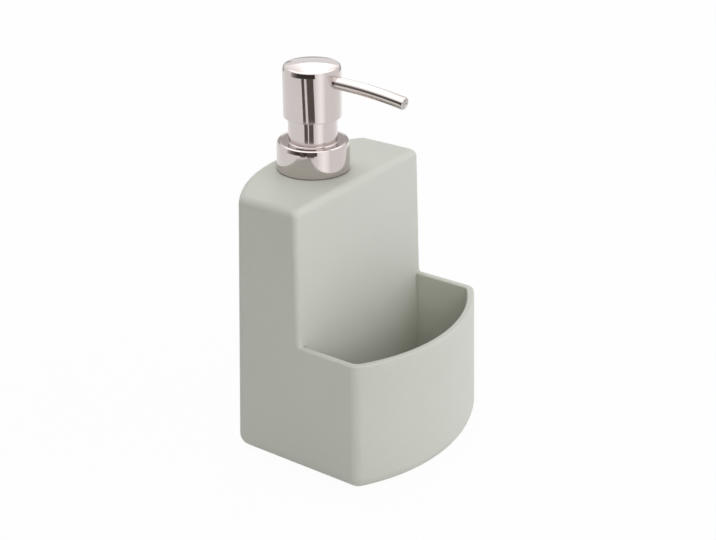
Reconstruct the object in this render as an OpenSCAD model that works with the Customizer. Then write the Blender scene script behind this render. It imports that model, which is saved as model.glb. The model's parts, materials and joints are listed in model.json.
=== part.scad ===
// Soap pump caddy: a cast body with a soap tower at the back and an open basket
// at the front, and a plated lotion pump screwed on to a neck glued in the tower.
// Millimetres. Origin: centre of the underside. Front, with the basket: -Y. Up: +Z.

/* [Caddy body] */
// Width over the flat sides, at the base
body_w = 106.1; // [100:0.1:125]
// Depth over both bowed ends, at the base
body_d = 105.5; // [100:0.1:125]
// How far each bowed end stands out beyond its corners
bow_rise = 17.8; // [12:0.1:20]
// Height of the soap tower
tower_h = 133; // [126:0.5:160]
// Depth of the soap tower, from its flat front to the back bow, at the base
tower_d = 56.7; // [54:0.1:61]
// Height of the basket's rim
rim_h = 66; // [45:0.1:90]
// Angle by which every outside face leans in, in degrees
draft = 1.38; // [0.6:0.02:1.6]
// Thickness of the cast wall
wall = 3.5; // [3:0.1:4.2]
// Thickness of the floor
floor_t = 5; // [4:0.1:7]

/* [Soft edges] */
// Radius of the two upright corners at the back
corner_r = 4.8; // [4:0.1:7]
// Radius of the basket's two upright corners
front_corner_r = 6.5; // [4.5:0.1:9]
// Least radius that the upright corners keep round the base
base_corner_r = 4; // [1:0.1:4]
// Radius of the tower's two front corners above the rim
tower_corner_r = 2.6; // [2:0.1:5]
// Radius round the top of the tower
top_edge_r = 3.6; // [2:0.1:5]
// Radius round the base
base_edge_r = 8; // [2:0.1:9]
// Radius on both edges of the basket's rim
rim_edge_r = 0.9; // [0.5:0.1:1.3]
// Height over which the tower's front corners run out into the rim
cove_h = 4.5; // [2:0.1:8]
// Radius of the upright corners inside the basket
basket_corner_r = 4.2; // [1.6:0.1:5]
// Radius of the upright corners inside the tank
inner_corner_r = 2.6; // [1.6:0.1:4]
// Radius between the floor and the walls, inside the basket and the tank
inner_floor_r = 4; // [2:0.1:6]

/* [Neck] */
// Distance of the pump's axis behind the tower's flat front, at the base
pump_back = 30.4; // [29:0.1:31]
// Outer radius of the neck under its thread
neck_r = 12.6; // [12:0.1:13]
// Radius of the bore through the neck
neck_bore_r = 10.6; // [9.8:0.1:11]
// Height of the neck above the tower
neck_rise = 9.2; // [8.5:0.1:12]
// Radius of the neck's skirt inside the tower's hole
neck_skirt_r = 14.6; // [13.8:0.1:15]
// Depth of the neck's skirt below the top of the tower
neck_skirt_h = 8; // [6:0.1:12]
// Radius of the neck's flange on the tower
neck_flange_r = 16; // [15.7:0.1:16.3]
// Thickness of the neck's flange
neck_flange_t = 1.4; // [1:0.1:1.6]
// Thickness of the glue round the neck's skirt
glue_t = 0.7; // [0.4:0.1:0.8]
// Thickness of the flat gasket on the neck
gasket_t = 1.2; // [0.8:0.1:2]

/* [Collar] */
// Outer radius of the plated collar at the bottom
collar_r = 17.6; // [17.4:0.1:18.5]
// Outer radius of the plated collar at the top
collar_top_r = 17; // [16.2:0.1:17.3]
// Radius round the top of the collar
collar_edge_r = 1.3; // [0.8:0.1:1.6]
// Thickness of the plated shells
shell_t = 0.7; // [0.5:0.1:0.9]
// Outer radius of the fixed chimney that the head slides over
chimney_r = 11.7; // [11:0.1:12.4]
// Length of the chimney that the head covers at rest
chimney_lap = 3.2; // [2.4:0.1:3.4]
// Radius of the hollow between the collar and the chimney
chimney_foot_r = 0.6; // [0.4:0.1:1]
// Thickness of the top of the nut inside the collar
nut_top_t = 1.8; // [1.2:0.1:2.5]

/* [Pump] */
// Stroke of the pump
stroke = 11; // [8:0.5:11.5]
// Radius of the pump's chamber
chamber_r = 8; // [7.4:0.1:8.2]
// Wall of the pump's housing
housing_t = 1.3; // [1:0.1:1.4]
// Radius of the housing's flange
housing_flange_r = 12.9; // [12:0.1:13.2]
// Thickness of the housing's flange
housing_flange_t = 1.2; // [0.8:0.1:2]
// Depth of the stem guide in the housing
guide_depth = 7.8; // [5:0.1:10]
// Height of the stem guide above the housing
guide_rise = 2.1; // [1:0.1:2.6]
// Radius of the stem
stem_r = 3.9; // [3.8:0.1:4.4]
// Height of the piston
piston_h = 7.4; // [5:0.1:9]
// Radius of the two valve balls
ball_r = 2.5; // [2.4:0.1:2.6]
// Lift of the valve balls
ball_lift = 1.5; // [0.8:0.1:1.8]
// Radius of the dip tube
tube_r = 3.2; // [2.8:0.1:3.6]
// Wall of the dip tube
tube_t = 0.9; // [0.6:0.1:1.1]
// Gap left under the dip tube
tube_end_gap = 3; // [2:0.5:6]

/* [Return spring] */
// Radius of the return spring at the middle of its wire
spring_r = 6.5; // [6.2:0.1:6.8]
// Radius of the spring's wire
wire_r = 0.55; // [0.4:0.05:0.6]
// Turns of the return spring
spring_turns = 6; // [4:1:7]

/* [Head] */
// Outer radius of the head
head_r = 13.8; // [13.5:0.1:15]
// Height of the head
head_h = 25.9; // [25:0.1:28]
// Rise of the head's crowned top
head_crown = 1.2; // [0.6:0.1:1.6]
// Radius round the top of the head
head_edge_r = 1.5; // [0.6:0.1:1.6]
// Radius of the boss that holds the stem
boss_r = 6; // [5.6:0.1:7]

/* [Nozzle] */
// Outer radius of the nozzle tube
nozzle_r = 2.95; // [2.6:0.05:3.1]
// Wall of the nozzle tube
nozzle_t = 0.9; // [0.6:0.05:1.1]
// Depth of the nozzle's centre line below the top of the head
nozzle_down = 7.7; // [7.2:0.1:7.8]
// Distance from the pump's axis to the start of the nozzle's bend
nozzle_straight = 15; // [14.5:0.5:30]
// Radius of the nozzle's bend
nozzle_bend_r = 235; // [150:5:600]
// Distance from the pump's axis to the nozzle's tip
nozzle_reach = 51.8; // [40:0.2:64]

/* [Hidden] */
// Smoothness of round parts, and steps along the casting's curves
$fn = 96;
corner_steps = 6;
bow_steps = 14;
edge_steps = 5;
rim_steps = 4;
cove_steps = 4;
tube_sides = 6;
turn_steps = 16;

// Cuts run past the faces that they open by this much
overrun = 1;
// Smallest radius that an inset corner keeps
least_r = 0.6;
// Radial gap of a sliding or turning fit
slide_gap = 0.07;
// Gap between the tower and the collar's lower edge
collar_gap = 0.3;
// Gap between the neck's flange and the nut
nut_gap = 0.4;
// Radial room for the screw thread between the neck and the nut
thread_room = 1.3;
// Gap between the nut and the collar's shell, and between the core and the head's shell
shell_gap = 0.1;
// Gap left under the head, and above the chimney, when the pump is pressed right down
press_gap = 1;
core_gap = 0.5;
// Gap between the piston and the stem guide at rest
stop_gap = 0.3;
// Gap of a ball over its seat and under its stop
seat_gap = 0.2;
// Radius of the room that a ball lifts in, and of the passage under its seat
ball_room_r = 3.4;
flow_r = 1.6;
// Length of the passage between the lower seat and the dip tube
passage_l = 1.5;
// Length of the housing's socket for the dip tube
socket_l = 13;
// Length of the housing's cone below the chamber
cone_l = 4;
// Thickness of the ball cage, depth of its plug, and its flow holes
cage_t = 1.2;
plug_l = 1.4;
cage_hole_r = 0.8;
cage_hole_at = 2.2;
cage_holes = 4;
// Lips of the piston
lip_h = 1.4;
lip_in = 0.8;
// Shoulder on the stem under the piston
shoulder_r = 5.2;
shoulder_t = 1.5;
// Thickness of the core over the upper ball, and how far the nozzle stops short of the axis
roof_t = 3.4;
nozzle_inner = 4.4;
// Room round the guide inside the nut, and width of the guide's lip on the housing
guide_room = 0.4;
guide_lip = 0.3;
// Room between the gasket and the pump's housing
gasket_room = 0.3;
// Bevel round the top of the neck
neck_bevel = 0.6;
// Room for the spring when its turns touch
spring_spare = 0.6;
// Gap between the spring's ends and what they press on
spring_gap = 0.1;

// Place of the tower's flat front at the base
tower_y = body_d / 2 - tower_d;

// Heights of the pump's stack, from the tower up
flange_z = tower_h + neck_rise + gasket_t;
flange_top = flange_z + housing_flange_t;
nut_top = flange_top + nut_top_t;
collar_top = nut_top + shell_t;
head_z = collar_top + stroke + press_gap;
head_top = head_z + head_h;
chimney_top = head_z + chimney_lap;
core_z = chimney_top + stroke + core_gap;
core_top = head_top - head_crown - shell_t - shell_gap;
nozzle_z = head_top - nozzle_down;
boss_z = flange_top + guide_rise + stroke + press_gap;

// Heights of the pump's stack, from the stem guide down
guide_z = flange_top - guide_depth;
piston_top = guide_z - stop_gap;
piston_z = piston_top - piston_h;
spring_solid = (spring_turns + 1) * 2 * wire_r + spring_spare;
cage_top = piston_z - stroke - spring_solid;
ledge_z = cage_top - cage_t;
ball_up = (ball_r + seat_gap) * sqrt(2) - ball_room_r;
ball_stack = ball_up + ball_r + ball_lift + seat_gap;
lower_seat_z = ledge_z - plug_l - ball_stack;
upper_seat_z = core_top - roof_t - ball_stack;
tube_top = lower_seat_z - (ball_room_r - flow_r) - passage_l;
socket_z = tube_top - socket_l;

housing_r = chamber_r + housing_t;
pump_y = tower_y + pump_back;
hole_r = neck_skirt_r + glue_t;
nut_bore_r = neck_r + thread_room;
nozzle_bore_r = nozzle_r - nozzle_t;

// Points of an arc in the plane, both ends included
function arc(c, r, a0, a1, n) = [
    for (k = [0 : n]) let (a = a0 + (a1 - a0) * k / n) c + r * [cos(a), sin(a)]
];

function without_ends(list) = [for (k = [1 : len(list) - 2]) list[k]];

// How far a face has leaned in at height z
function lean(z) = z * tan(draft);

// Half width of the casting where its sides have come in by that much
function half_w(come_in) = body_w / 2 - come_in;

// Radius of a bow that has leaned in but keeps its rise, and how far its centre lies beyond the middle
function bow_r(leaned) = (pow(half_w(leaned), 2) + pow(bow_rise, 2)) / (2 * bow_rise);
function bow_off(leaned) = bow_r(leaned) - body_d / 2 + leaned;

// Centre of the back right corner's rounding of radius r, for a wall set in by inset
function corner_centre(leaned, inset, r) =
    let (x = half_w(leaned) - inset - r, reach = bow_r(leaned) - inset - r)
    [x, sqrt(reach * reach - x * x) - bow_off(leaned)];

// The back bow with its two corners, from the right side round to the left side
function back_bow(leaned, inset, r) =
    let (
        c = corner_centre(leaned, inset, r),
        off = bow_off(leaned),
        a = atan2(c.y + off, c.x)
    )
    concat(
        arc(c, r, 0, a, corner_steps),
        without_ends(arc([0, -off], bow_r(leaned) - inset, a, 180 - a, bow_steps)),
        arc([-c.x, c.y], r, 180 - a, 180, corner_steps)
    );

// The front bow, from the left side round to the right side
function front_bow(leaned, inset, r) = -back_bow(leaned, inset, r);

function lift_to(points, z) = [for (p = points) [p.x, p.y, z]];

function soft_r(r, inset) = max(r - inset, least_r);

// How far in and how far down the rim's rounded section lies at step k, from outside in
function rim_in(k) =
    k <= rim_steps ? rim_edge_r * (1 - cos(90 * k / rim_steps))
    : wall - rim_in(2 * rim_steps + 1 - k);
function rim_down(k) =
    rim_edge_r * (1 - sin(90 * min(k, 2 * rim_steps + 1 - k) / rim_steps));
rim_last = 2 * rim_steps + 1;

// One front corner of the tower, as distances in from the side and back from the front
function corner_in(k, r) = k <= rim_steps ? r * (1 - cos(90 * k / rim_steps)) : r + rim_in(k) - rim_edge_r;
function corner_back(k, r) = k <= rim_steps ? r * (1 - sin(90 * k / rim_steps)) : 0;

// A ring of the outside below the rim
function wall_ring(z, inset) =
    let (
        e = lean(z),
        x = half_w(e + inset),
        y = tower_y + e + rim_edge_r,
        front = front_bow(e, inset, max(front_corner_r - inset, base_corner_r)),
        back = back_bow(e, inset, max(corner_r - inset, base_corner_r))
    )
    lift_to(concat([[-x, y]], front, [[x, y]], back), z);

// A row of the rim, from the tower's left front corner round the basket to its right one
function rim_row(k) =
    let (
        z = rim_h - rim_down(k),
        e = lean(z),
        x = half_w(e + rim_in(k)),
        y = tower_y + e + corner_back(k, rim_edge_r),
        r = max(front_corner_r - rim_in(k), basket_corner_r)
    )
    lift_to(concat([[-x, y]], front_bow(e, rim_in(k), r), [[x, y]]), z);

// A ring inside the basket
function basket_ring(z, inset) =
    let (
        e = lean(z),
        x = half_w(e + wall + inset),
        y = tower_y + e - inset,
        r = soft_r(basket_corner_r, inset)
    )
    lift_to(concat([[-x, y]], front_bow(e, wall + inset, r), [[x, y]]), z);

// The ring where the tower rises out of the rim
function tower_foot() =
    let (z = rim_h - rim_edge_r, left = [for (k = [0 : rim_last]) rim_row(k)[0]])
    concat(
        left,
        [for (k = [rim_last : -1 : 0]) [-left[k].x, left[k].y, left[k].z]],
        lift_to(back_bow(lean(z), 0, corner_r), z)
    );

// A ring of the tower, with front corners of radius r
function tower_ring(z, inset, r) =
    let (
        e = lean(z),
        x = half_w(e + inset),
        y = tower_y + e + inset,
        left = [for (k = [0 : rim_last]) [corner_in(k, r) - x, y + corner_back(k, r)]]
    )
    lift_to(concat(
        left,
        [for (k = [rim_last : -1 : 0]) [-left[k].x, left[k].y]],
        back_bow(e, inset, soft_r(corner_r, inset))
    ), z);

// Radius of the tower's front corners at a share of the cove's height
function cove_corner_r(share) = rim_edge_r + (tower_corner_r - rim_edge_r) * sqrt(1 - pow(1 - share, 2));

// Triangles between rows of a grid of points, first to last, seen clockwise from outside
function grid_faces(first, rows, columns, closed) = [
    for (row = [0 : rows - 2], i = [0 : columns - (closed ? 1 : 2)])
        let (
            a = first + row * columns + i,
            b = first + row * columns + (i + 1) % columns,
            c = b + columns,
            d = a + columns
        )
        each [[a, d, c], [a, c, b]]
];

function flat(rows) = [for (row = rows) each row];
function counting(first, n) = [for (i = [0 : n - 1]) first + i];
function backwards(list) = [for (i = [len(list) - 1 : -1 : 0]) list[i]];

// Height and inset of a rounded edge of radius r that ends at height z; up is 1 or -1
function edge_curve(z, r, up) = [
    for (k = [0 : edge_steps]) let (a = 90 * k / edge_steps)
        [z - up * r * (1 - sin(a)), r * (1 - cos(a))]
];

// Outside of the casting and inside of its basket, as one closed surface
module casting_outside() {
    walls = concat(
        [for (e = backwards(edge_curve(0, base_edge_r, -1))) wall_ring(e[0], e[1])],
        [wall_ring(rim_h - rim_edge_r, 0)]
    );
    rim = [for (k = [0 : rim_last]) rim_row(k)];
    basket = concat(
        [rim_row(rim_last)],
        [for (e = edge_curve(floor_t, inner_floor_r, -1)) basket_ring(e[0], e[1])]
    );
    tower = concat(
        [tower_foot()],
        [for (k = [1 : cove_steps]) let (share = k / cove_steps)
            tower_ring(rim_h + cove_h * share, 0, cove_corner_r(share))],
        [for (e = edge_curve(tower_h, top_edge_r, 1))
            tower_ring(e[0], e[1], max(tower_corner_r, e[1]))]
    );
    rim_at = len(walls) * len(walls[0]);
    basket_at = rim_at + len(rim) * len(rim[0]);
    tower_at = basket_at + len(basket) * len(basket[0]);
    top_at = tower_at + (len(tower) - 1) * len(tower[0]);
    polyhedron(
        points = concat(flat(walls), flat(rim), flat(basket), flat(tower)),
        faces = concat(
            [counting(0, len(walls[0]))],
            grid_faces(0, len(walls), len(walls[0]), true),
            grid_faces(rim_at, len(rim), len(rim[0]), false),
            grid_faces(basket_at, len(basket), len(basket[0]), true),
            [backwards(counting(tower_at - len(basket[0]), len(basket[0])))],
            grid_faces(tower_at, len(tower), len(tower[0]), true),
            [backwards(counting(top_at, len(tower[0])))]
        ),
        convexity = 10
    );
}

// A ring of the tank inside the tower
function tank_ring(z, inset) =
    let (
        e = lean(z),
        r = soft_r(inner_corner_r, inset),
        x = half_w(e + wall + inset) - r,
        y = tower_y + e + wall + inset + r
    )
    lift_to(concat(
        arc([-x, y], r, 180, 270, corner_steps),
        arc([x, y], r, 270, 360, corner_steps),
        back_bow(e, wall + inset, r)
    ), z);

module tank() {
    rings = concat(
        [for (e = backwards(edge_curve(floor_t, inner_floor_r, -1))) tank_ring(e[0], e[1])],
        [for (e = edge_curve(tower_h - wall, top_edge_r, 1)) tank_ring(e[0], e[1])]
    );
    n = len(rings[0]);
    polyhedron(
        points = flat(rings),
        faces = concat(
            [counting(0, n)],
            grid_faces(0, len(rings), n, true),
            [backwards(counting((len(rings) - 1) * n, n))]
        ),
        convexity = 4
    );
}

// Puts a pump part on the pump's axis
module on_axis() {
    translate([0, pump_y, 0]) children();
}

module caddy_body() {
    color([0.78, 0.79, 0.76]) difference() {
        casting_outside();
        tank();
        on_axis() translate([0, 0, tower_h - wall - overrun])
            cylinder(r = hole_r, h = wall + 2 * overrun);
    }
}

module neck_glue() {
    color([0.92, 0.91, 0.86]) on_axis() rotate_extrude()
        translate([neck_skirt_r, tower_h - wall]) square([glue_t, wall]);
}

module neck_insert() {
    color([0.95, 0.95, 0.94]) on_axis() rotate_extrude() polygon([
        [neck_bore_r, tower_h - neck_skirt_h],
        [neck_skirt_r, tower_h - neck_skirt_h],
        [neck_skirt_r, tower_h],
        [neck_flange_r, tower_h],
        [neck_flange_r, tower_h + neck_flange_t],
        [neck_r, tower_h + neck_flange_t],
        [neck_r, tower_h + neck_rise - neck_bevel],
        [neck_r - neck_bevel, tower_h + neck_rise],
        [neck_bore_r, tower_h + neck_rise]
    ]);
}

module neck_gasket() {
    color([0.35, 0.35, 0.36]) on_axis() rotate_extrude()
        translate([housing_r + gasket_room, tower_h + neck_rise])
            square([housing_flange_r - housing_r - gasket_room, gasket_t]);
}

module pump_housing() {
    cone_z = ledge_z - housing_t;
    color([0.93, 0.94, 0.95]) on_axis() rotate_extrude() polygon([
        [chamber_r, flange_top],
        [chamber_r, ledge_z],
        [ball_room_r, ledge_z],
        [ball_room_r, lower_seat_z],
        [flow_r, lower_seat_z - (ball_room_r - flow_r)],
        [flow_r, tube_top],
        [tube_r, tube_top],
        [tube_r, socket_z],
        [tube_r + housing_t, socket_z],
        [tube_r + housing_t, tube_top],
        [ball_room_r + housing_t, lower_seat_z],
        [ball_room_r + housing_t, cone_z - cone_l],
        [housing_r, cone_z],
        [housing_r, flange_z],
        [housing_flange_r, flange_z],
        [housing_flange_r, flange_top]
    ]);
}

module stem_guide() {
    lip_r = chamber_r + guide_lip;
    bore = stem_r + slide_gap;
    color([0.88, 0.9, 0.92]) on_axis() rotate_extrude() polygon([
        [bore, guide_z],
        [chamber_r, guide_z],
        [chamber_r, flange_top],
        [lip_r, flange_top],
        [lip_r, flange_top + guide_rise],
        [bore, flange_top + guide_rise]
    ]);
}

module ball_cage() {
    color([0.85, 0.87, 0.9]) on_axis() difference() {
        rotate_extrude() polygon([
            [0, ledge_z - plug_l],
            [ball_room_r, ledge_z - plug_l],
            [ball_room_r, ledge_z],
            [chamber_r, ledge_z],
            [chamber_r, cage_top],
            [0, cage_top]
        ]);
        for (k = [0 : cage_holes - 1]) rotate(k * 360 / cage_holes)
            translate([cage_hole_at, 0, ledge_z - plug_l - overrun])
                cylinder(r = cage_hole_r, h = plug_l + cage_t + 2 * overrun);
    }
}

module valve_ball(seat_z) {
    color([0.8, 0.82, 0.84]) on_axis() translate([0, 0, seat_z + ball_up]) sphere(r = ball_r);
}

module inlet_ball() {
    valve_ball(lower_seat_z);
}

module outlet_ball() {
    valve_ball(upper_seat_z);
}

module dip_tube() {
    foot = floor_t + tube_end_gap;
    color([0.9, 0.93, 0.94]) on_axis() rotate_extrude()
        translate([tube_r - tube_t, foot]) square([tube_t, tube_top - foot]);
}

// Round wire wound from the ball cage up to the piston
module return_spring() {
    low = cage_top + wire_r + spring_gap;
    high = piston_z - wire_r - spring_gap;
    steps = spring_turns * turn_steps;
    points = [
        for (k = [0 : steps], s = [0 : tube_sides - 1])
            let (
                a = 360 * k / turn_steps,
                b = 360 * s / tube_sides,
                reach = spring_r + wire_r * cos(b)
            )
            [reach * cos(a), reach * sin(a), low + (high - low) * k / steps + wire_r * sin(b)]
    ];
    color([0.75, 0.77, 0.8]) on_axis() polyhedron(
        points = points,
        faces = concat(
            [counting(0, tube_sides)],
            grid_faces(0, steps + 1, tube_sides, true),
            [backwards(counting(steps * tube_sides, tube_sides))]
        ),
        convexity = 20
    );
}

module piston() {
    outer = chamber_r - slide_gap;
    bore = stem_r + slide_gap;
    color([0.93, 0.9, 0.82]) on_axis() rotate_extrude() polygon([
        [bore, piston_z],
        [outer, piston_z],
        [outer, piston_z + lip_h],
        [outer - lip_in, piston_z + 2 * lip_h],
        [outer - lip_in, piston_top - 2 * lip_h],
        [outer, piston_top - lip_h],
        [outer, piston_top],
        [bore, piston_top]
    ]);
}

module stem() {
    color([0.94, 0.94, 0.93]) on_axis() rotate_extrude() polygon([
        [flow_r, piston_z - shoulder_t],
        [shoulder_r, piston_z - shoulder_t],
        [shoulder_r, piston_z],
        [stem_r, piston_z],
        [stem_r, upper_seat_z],
        [ball_room_r, upper_seat_z],
        [flow_r, upper_seat_z - (ball_room_r - flow_r)]
    ]);
}

// A plain round bar along the nozzle's centre line, from one reach to another
module nozzle_bar(r, from, to) {
    straight_end = min(nozzle_straight, to);
    bend = asin((to - nozzle_straight) / nozzle_bend_r);
    on_axis() translate([0, 0, nozzle_z]) {
        translate([0, -from, 0]) rotate([90, 0, 0]) cylinder(r = r, h = straight_end - from);
        if (to > nozzle_straight)
            translate([0, -nozzle_straight, -nozzle_bend_r]) rotate([0, -90, 0])
                rotate_extrude(start = -bend, angle = bend) translate([nozzle_bend_r, 0]) circle(r = r);
    }
}

module nozzle_tube() {
    color([0.84, 0.8, 0.79]) difference() {
        nozzle_bar(nozzle_r, nozzle_inner, nozzle_reach);
        nozzle_bar(nozzle_bore_r, nozzle_inner - overrun, nozzle_reach + overrun);
    }
}

module head_core() {
    color([0.9, 0.9, 0.9]) difference() {
        on_axis() rotate_extrude() polygon([
            [stem_r, boss_z],
            [boss_r, boss_z],
            [boss_r, core_z],
            [head_r - shell_t - shell_gap, core_z],
            [head_r - shell_t - shell_gap, core_top],
            [0, core_top],
            [0, core_top - roof_t],
            [ball_room_r, core_top - roof_t],
            [ball_room_r, upper_seat_z],
            [stem_r, upper_seat_z]
        ]);
        on_axis() translate([0, -nozzle_inner, nozzle_z]) rotate([90, 0, 0])
            cylinder(r = nozzle_r, h = head_r);
        on_axis() translate([0, 0, nozzle_z]) rotate([90, 0, 0])
            cylinder(r = nozzle_bore_r, h = nozzle_inner + overrun);
    }
}

// Half section of the head's outside, crowned on top
function head_section() =
    let (
        edge_x = head_r - head_edge_r,
        crown_r = (edge_x * edge_x + head_crown * head_crown) / (2 * head_crown),
        edge_a = acos(edge_x / (crown_r - head_edge_r)),
        edge_z = head_top - crown_r + (crown_r - head_edge_r) * sin(edge_a)
    )
    concat(
        arc([0, head_top - crown_r], crown_r, 90, edge_a, edge_steps),
        [for (k = [1 : edge_steps]) let (a = edge_a * (1 - k / edge_steps))
            [edge_x, edge_z] + head_edge_r * [cos(a), sin(a)]]
    );

module head_shell() {
    color([0.84, 0.8, 0.79]) difference() {
        on_axis() rotate_extrude() polygon(concat(
            head_section(),
            [[head_r, head_z], [head_r - shell_t, head_z]],
            [[head_r - shell_t, core_top - head_edge_r], [head_r - shell_t - shell_gap, core_top + shell_gap]],
            [[0, core_top + shell_gap]]
        ));
        on_axis() translate([0, 0, nozzle_z]) rotate([90, 0, 0])
            cylinder(r = nozzle_r, h = head_r + overrun);
    }
}

module collar_nut() {
    low = tower_h + neck_flange_t + nut_gap;
    slope = (collar_r - collar_top_r) / (collar_top - tower_h);
    inner = shell_t + shell_gap;
    color([0.9, 0.9, 0.9]) on_axis() rotate_extrude() polygon([
        [nut_bore_r, low],
        [collar_r - inner - slope * (low - tower_h), low],
        [collar_r - inner - slope * (nut_top - tower_h) - shell_t, nut_top],
        [chamber_r + guide_lip + guide_room, nut_top],
        [chamber_r + guide_lip + guide_room, flange_top],
        [nut_bore_r, flange_top]
    ]);
}

module collar_shell() {
    low = tower_h + collar_gap;
    edge = collar_top - collar_edge_r;
    foot = collar_top + chimney_foot_r;
    inner_edge_r = max(collar_edge_r - shell_t, least_r / 2);
    color([0.84, 0.8, 0.79]) on_axis() rotate_extrude() polygon(concat(
        [[collar_r, low]],
        arc([collar_top_r - collar_edge_r, edge], collar_edge_r, 0, 90, edge_steps),
        arc([chimney_r + chimney_foot_r, foot], chimney_foot_r, 270, 180, edge_steps),
        [[chimney_r, chimney_top], [chimney_r - shell_t, chimney_top]],
        [[chimney_r - shell_t, collar_top - shell_t]],
        arc([collar_top_r - shell_t - inner_edge_r, nut_top - inner_edge_r], inner_edge_r, 90, 0, edge_steps),
        [[collar_r - shell_t, low]]
    ));
}

caddy_body();
neck_glue();
neck_insert();
neck_gasket();
pump_housing();
stem_guide();
ball_cage();
inlet_ball();
dip_tube();
return_spring();
piston();
stem();
outlet_ball();
head_core();
head_shell();
nozzle_tube();
collar_nut();
collar_shell();
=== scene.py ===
"""Looks of the soap pump caddy.

A smooth casting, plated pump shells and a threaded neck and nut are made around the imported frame.
"""
import json
import math

import bpy
import numpy as np
from mathutils import Matrix, Vector

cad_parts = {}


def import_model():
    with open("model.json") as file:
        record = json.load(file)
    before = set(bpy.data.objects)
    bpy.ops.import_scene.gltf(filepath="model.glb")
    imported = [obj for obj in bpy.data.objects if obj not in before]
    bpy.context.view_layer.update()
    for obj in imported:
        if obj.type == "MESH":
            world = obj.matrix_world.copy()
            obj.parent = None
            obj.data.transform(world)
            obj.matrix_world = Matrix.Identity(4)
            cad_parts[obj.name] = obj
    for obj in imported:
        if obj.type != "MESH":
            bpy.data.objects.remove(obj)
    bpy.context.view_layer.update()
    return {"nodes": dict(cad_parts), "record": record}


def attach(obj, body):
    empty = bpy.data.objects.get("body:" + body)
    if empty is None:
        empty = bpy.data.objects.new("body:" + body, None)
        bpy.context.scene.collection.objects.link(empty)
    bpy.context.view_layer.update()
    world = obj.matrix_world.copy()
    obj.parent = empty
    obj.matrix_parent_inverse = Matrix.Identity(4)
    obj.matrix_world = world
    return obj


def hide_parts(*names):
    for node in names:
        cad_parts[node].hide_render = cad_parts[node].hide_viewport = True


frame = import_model()

MM = 0.001

# Sizes of the casting, in millimetres and degrees, as in the part's source
BODY_W = 106.1
BODY_D = 105.5
BOW_RISE = 17.8
TOWER_H = 133.0
TOWER_D = 56.7
RIM_H = 66.0
DRAFT = 1.38
WALL = 3.5
FLOOR_T = 5.0
CORNER_R = 4.8
FRONT_CORNER_R = 6.5
BASE_CORNER_R = 4.0
TOWER_CORNER_R = 2.6
TOP_EDGE_R = 3.6
BASE_EDGE_R = 8.0
RIM_EDGE_R = 0.9
COVE_H = 4.5
BASKET_CORNER_R = 4.2
INNER_CORNER_R = 2.6
INNER_FLOOR_R = 4.0
LEAST_R = 0.6
LEAN = math.tan(math.radians(DRAFT))
TOWER_Y = BODY_D / 2 - TOWER_D

# Steps along the casting's curves
CORNER_STEPS = 12
BOW_STEPS = 64
EDGE_STEPS = 12
RIM_STEPS = 8
RIM_LAST = 2 * RIM_STEPS + 1
COVE_STEPS = 12
FRONT_STEPS = 40

# Sizes of the pump, in millimetres, as in the part's source
PUMP_BACK = 30.4
NECK_R = 12.6
NECK_BORE_R = 10.6
NECK_RISE = 9.2
NECK_SKIRT_R = 14.6
NECK_SKIRT_H = 8.0
NECK_FLANGE_R = 16.0
NECK_FLANGE_T = 1.4
NECK_BEVEL = 0.6
GLUE_T = 0.7
GASKET_T = 1.2
HOUSING_FLANGE_T = 1.2
THREAD_ROOM = 1.3
NUT_GAP = 0.4
NUT_TOP_T = 1.8
SHELL_T = 0.7
SHELL_GAP = 0.1
COLLAR_GAP = 0.3
COLLAR_R = 17.6
COLLAR_TOP_R = 17.0
CHIMNEY_R = 11.7
CHIMNEY_LAP = 3.2
CHIMNEY_FOOT_R = 0.6
CHAMBER_R = 8.0
GUIDE_LIP = 0.3
GUIDE_ROOM = 0.4
STROKE = 11.0
PRESS_GAP = 1.0
HEAD_R = 13.8
HEAD_H = 25.9
HEAD_CROWN = 1.2
NOZZLE_R = 2.95
NOZZLE_T = 0.9
NOZZLE_DOWN = 7.7
NOZZLE_INNER = 4.4
NOZZLE_STRAIGHT = 15.0
NOZZLE_BEND_R = 235.0
NOZZLE_REACH = 51.8

# Places and sizes of the pump that follow from them
PUMP_Y = TOWER_Y + PUMP_BACK
HOLE_R = NECK_SKIRT_R + GLUE_T
NUT_BORE_R = NECK_R + THREAD_ROOM
NUT_OPENING_R = CHAMBER_R + GUIDE_LIP + GUIDE_ROOM
NECK_TOP = TOWER_H + NECK_RISE
FLANGE_TOP = NECK_TOP + GASKET_T + HOUSING_FLANGE_T
NUT_TOP = FLANGE_TOP + NUT_TOP_T
COLLAR_TOP = NUT_TOP + SHELL_T
HEAD_Z = COLLAR_TOP + STROKE + PRESS_GAP
HEAD_TOP = HEAD_Z + HEAD_H
CHIMNEY_TOP = HEAD_Z + CHIMNEY_LAP
NOZZLE_Z = HEAD_TOP - NOZZLE_DOWN

# Bends and small edges that only the scene has, in millimetres and degrees
COLLAR_SLOPE = 1.2
COLLAR_BEND = 6.6
COLLAR_TURN = 19.5
COLLAR_CREST = 1.0
COLLAR_CREST_END = 125.0
COLLAR_PLATE_DROP = 0.4
COLLAR_INNER_R = 0.6
COLLAR_LIP_R = 0.2
COLLAR_LIP_IN = 0.02
COLLAR_LIP_BREAK = 0.12
CHIMNEY_BREAK = 0.2
CHIMNEY_BREAK_MIDDLE = 0.06
CHIMNEY_INNER_BREAK = 0.1
HEAD_CROWN_R = 64.0
HEAD_BEND = 6.4
HEAD_TURN = 19.0
HEAD_EDGE_R = 1.2
HEAD_LIP_R = 0.18
HEAD_LIP_H = 0.5
HEAD_LIP_BREAK = 0.15
HEAD_LIP_MIDDLE = 0.05
HEAD_CORNER = 1.6
NOZZLE_INSET = 1.0
NECK_EDGE_R = 0.25
NECK_BEVEL_MIDDLE = 0.18
NECK_BORE_BEVEL = 0.3
NUT_EDGE_R = 0.2
NUT_MOUTH = 0.5

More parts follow.
